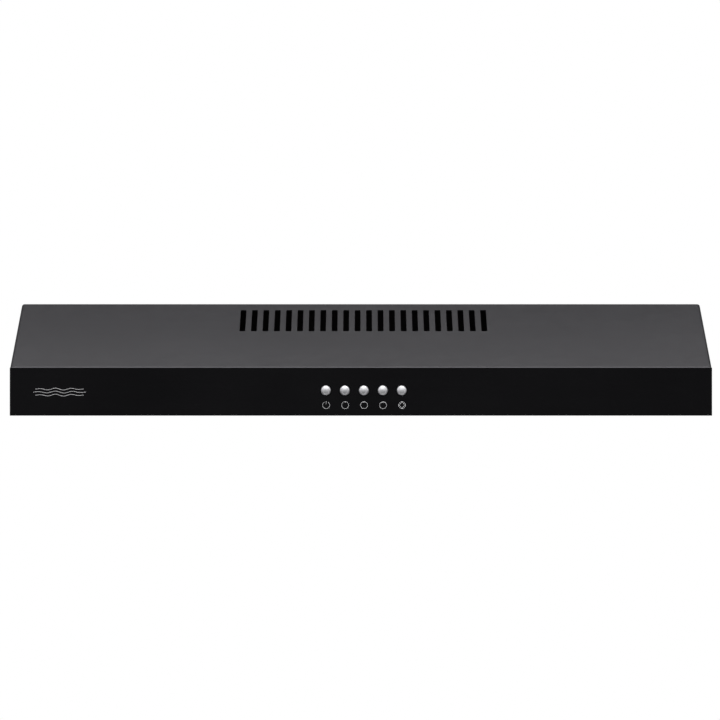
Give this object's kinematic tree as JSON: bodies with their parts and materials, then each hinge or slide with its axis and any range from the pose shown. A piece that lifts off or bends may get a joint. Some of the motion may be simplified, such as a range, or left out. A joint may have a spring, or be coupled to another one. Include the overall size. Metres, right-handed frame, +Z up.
{
  "type": "under cabinet range hood",
  "caption": "Slim under cabinet range hood with a sloped, slotted front, push-button panel, swing-down grease filters, lamp, blower and duct outlet with back-draught flaps.",
  "frame": {"origin": "on the flat top face, at the centre of the four cabinet screw holes", "axes": "+X to the right as the cook sees it, +Y to the wall, +Z up"},
  "size_m": [0.6, 0.4846, 0.097],
  "materials": {
    "canopy_paint": "semi-gloss",
    "fascia_paint": "gloss",
    "silver_button": "satin",
    "switch_plastic": "moulded",
    "zinc_sheet": "galvanised",
    "brass_terminal": "plain",
    "frosted_lens": "frosted",
    "ceramic_holder": "glazed",
    "bulb_glass": "opal glass",
    "lamp_cap": "bright",
    "filter_aluminium": "satin",
    "mesh_aluminium": "expanded mesh",
    "latch_plastic": "fine texture",
    "air_box_plastic": "moulded",
    "outlet_plastic": "moulded",
    "steel_rod": "ground",
    "damper_aluminium": "plain sheet",
    "flap_plastic": "moulded",
    "lever_plastic": "moulded",
    "scroll_plastic": "moulded",
    "wheel_plastic": "moulded",
    "core_steel": "stacked laminations",
    "copper_coil": "enamelled wire",
    "bush_rubber": "matte",
    "capacitor_case": "moulded",
    "junction_plastic": "moulded",
    "terminal_plastic": "moulded",
    "lead_sleeve": "extruded",
    "black_screw": "blackened",
    "zinc_screw": "zinc plated"
  },
  "bodies": {
    "hood": {"canopy": "canopy_paint", "rear_panel": "canopy_paint", "fascia": "fascia_paint", "bottom_frame": "canopy_paint", "switch_block": "switch_plastic", "switch_plate": "zinc_sheet", "switch_terminals": "brass_terminal", "lamp_lens": "frosted_lens", "lamp_bracket": "zinc_sheet", "lamp_holder": "ceramic_holder", "lamp_bulb": "bulb_glass", "lamp_cap": "lamp_cap", "air_box": "air_box_plastic", "air_chute": "air_box_plastic", "outlet_socket": "outlet_plastic", "damper_rod": "steel_rod", "scroll_upper": "scroll_plastic", "scroll_lower": "scroll_plastic", "inlet_guard": "outlet_plastic", "motor_stator": "core_steel", "motor_coils": "copper_coil", "motor_upper_shield": "zinc_sheet", "motor_lower_shield": "zinc_sheet", "motor_bearings": "brass_terminal", "motor_bushes": "bush_rubber", "capacitor": "capacitor_case", "capacitor_clip": "zinc_sheet", "junction_box": "junction_plastic", "junction_cover": "junction_plastic", "terminal_block": "terminal_plastic", "cable_grommet": "bush_rubber", "switch_lead": "lead_sleeve", "lamp_lead": "lead_sleeve", "motor_leads": "lead_sleeve", "frame_screws": "black_screw", "top_screws": "zinc_screw", "pan_screws": "zinc_screw", "motor_screws": "zinc_screw", "switch_screws": "zinc_screw", "fascia_nuts": "zinc_screw"},
    "button_off": {"button_off": "silver_button"},
    "button_speed_1": {"button_speed_1": "silver_button"},
    "button_speed_2": {"button_speed_2": "silver_button"},
    "button_speed_3": {"button_speed_3": "silver_button"},
    "button_light": {"button_light": "silver_button"},
    "filter_left": {"filter_frame_left": "filter_aluminium", "filter_mesh_left": "mesh_aluminium", "latch_bezel_left": "latch_plastic"},
    "filter_right": {"filter_frame_right": "filter_aluminium", "filter_mesh_right": "mesh_aluminium", "latch_bezel_right": "latch_plastic"},
    "latch_left": {"latch_slider_left": "latch_plastic"},
    "latch_right": {"latch_slider_right": "latch_plastic"},
    "fan": {"impeller": "wheel_plastic", "fan_shaft": "steel_rod", "rotor": "core_steel"},
    "mode_flap": {"mode_flap": "flap_plastic", "mode_lever": "lever_plastic"},
    "damper_front": {"damper_flap_front": "damper_aluminium"},
    "damper_rear": {"damper_flap_rear": "damper_aluminium"}
  },
  "joints": [
    {"name": "button_off_press", "type": "slide", "parent": "hood", "child": "button_off", "axis": [0, 1, 0], "range_m": [0, 0.0022], "stiffness_N_per_m": 500, "springref_m": -0.002},
    {"name": "button_speed_1_press", "type": "slide", "parent": "hood", "child": "button_speed_1", "axis": [0, 1, 0], "range_m": [0, 0.0022], "stiffness_N_per_m": 500, "springref_m": -0.002},
    {"name": "button_speed_2_press", "type": "slide", "parent": "hood", "child": "button_speed_2", "axis": [0, 1, 0], "range_m": [0, 0.0022], "stiffness_N_per_m": 500, "springref_m": -0.002},
    {"name": "button_speed_3_press", "type": "slide", "parent": "hood", "child": "button_speed_3", "axis": [0, 1, 0], "range_m": [0, 0.0022], "stiffness_N_per_m": 500, "springref_m": -0.002},
    {"name": "button_light_press", "type": "slide", "parent": "hood", "child": "button_light", "axis": [0, 1, 0], "range_m": [0, 0.0022], "stiffness_N_per_m": 500, "springref_m": -0.002},
    {"name": "filter_left_swing", "type": "hinge", "parent": "hood", "child": "filter_left", "pos_m": [0, 0.1504, -0.0936], "axis": [1, 0, 0], "range_deg": [0, 75]},
    {"name": "latch_left_slide", "type": "slide", "parent": "filter_left", "child": "latch_left", "axis": [0, 1, 0], "range_m": [0, 0.005], "stiffness_N_per_m": 300, "springref_m": -0.003},
    {"name": "filter_right_swing", "type": "hinge", "parent": "hood", "child": "filter_right", "pos_m": [0, 0.1504, -0.0936], "axis": [1, 0, 0], "range_deg": [0, 75]},
    {"name": "latch_right_slide", "type": "slide", "parent": "filter_right", "child": "latch_right", "axis": [0, 1, 0], "range_m": [0, 0.005], "stiffness_N_per_m": 300, "springref_m": -0.003},
    {"name": "fan_spin", "type": "hinge", "parent": "hood", "child": "fan", "pos_m": [-0.178, 0.04, -0.04], "axis": [0, 0, 1], "continuous": true},
    {"name": "mode_flap_turn", "type": "hinge", "parent": "hood", "child": "mode_flap", "pos_m": [0, -0.014, -0.0295], "axis": [-1, 0, 0], "range_deg": [0, 18]},
    {"name": "damper_front_lift", "type": "hinge", "parent": "hood", "child": "damper_front", "pos_m": [0, 0.05, -0.019], "axis": [-1, 0, 0], "range_deg": [0, 80]},
    {"name": "damper_rear_lift", "type": "hinge", "parent": "hood", "child": "damper_rear", "pos_m": [0, 0.05, -0.019], "axis": [1, 0, 0], "range_deg": [0, 80]}
  ]
}
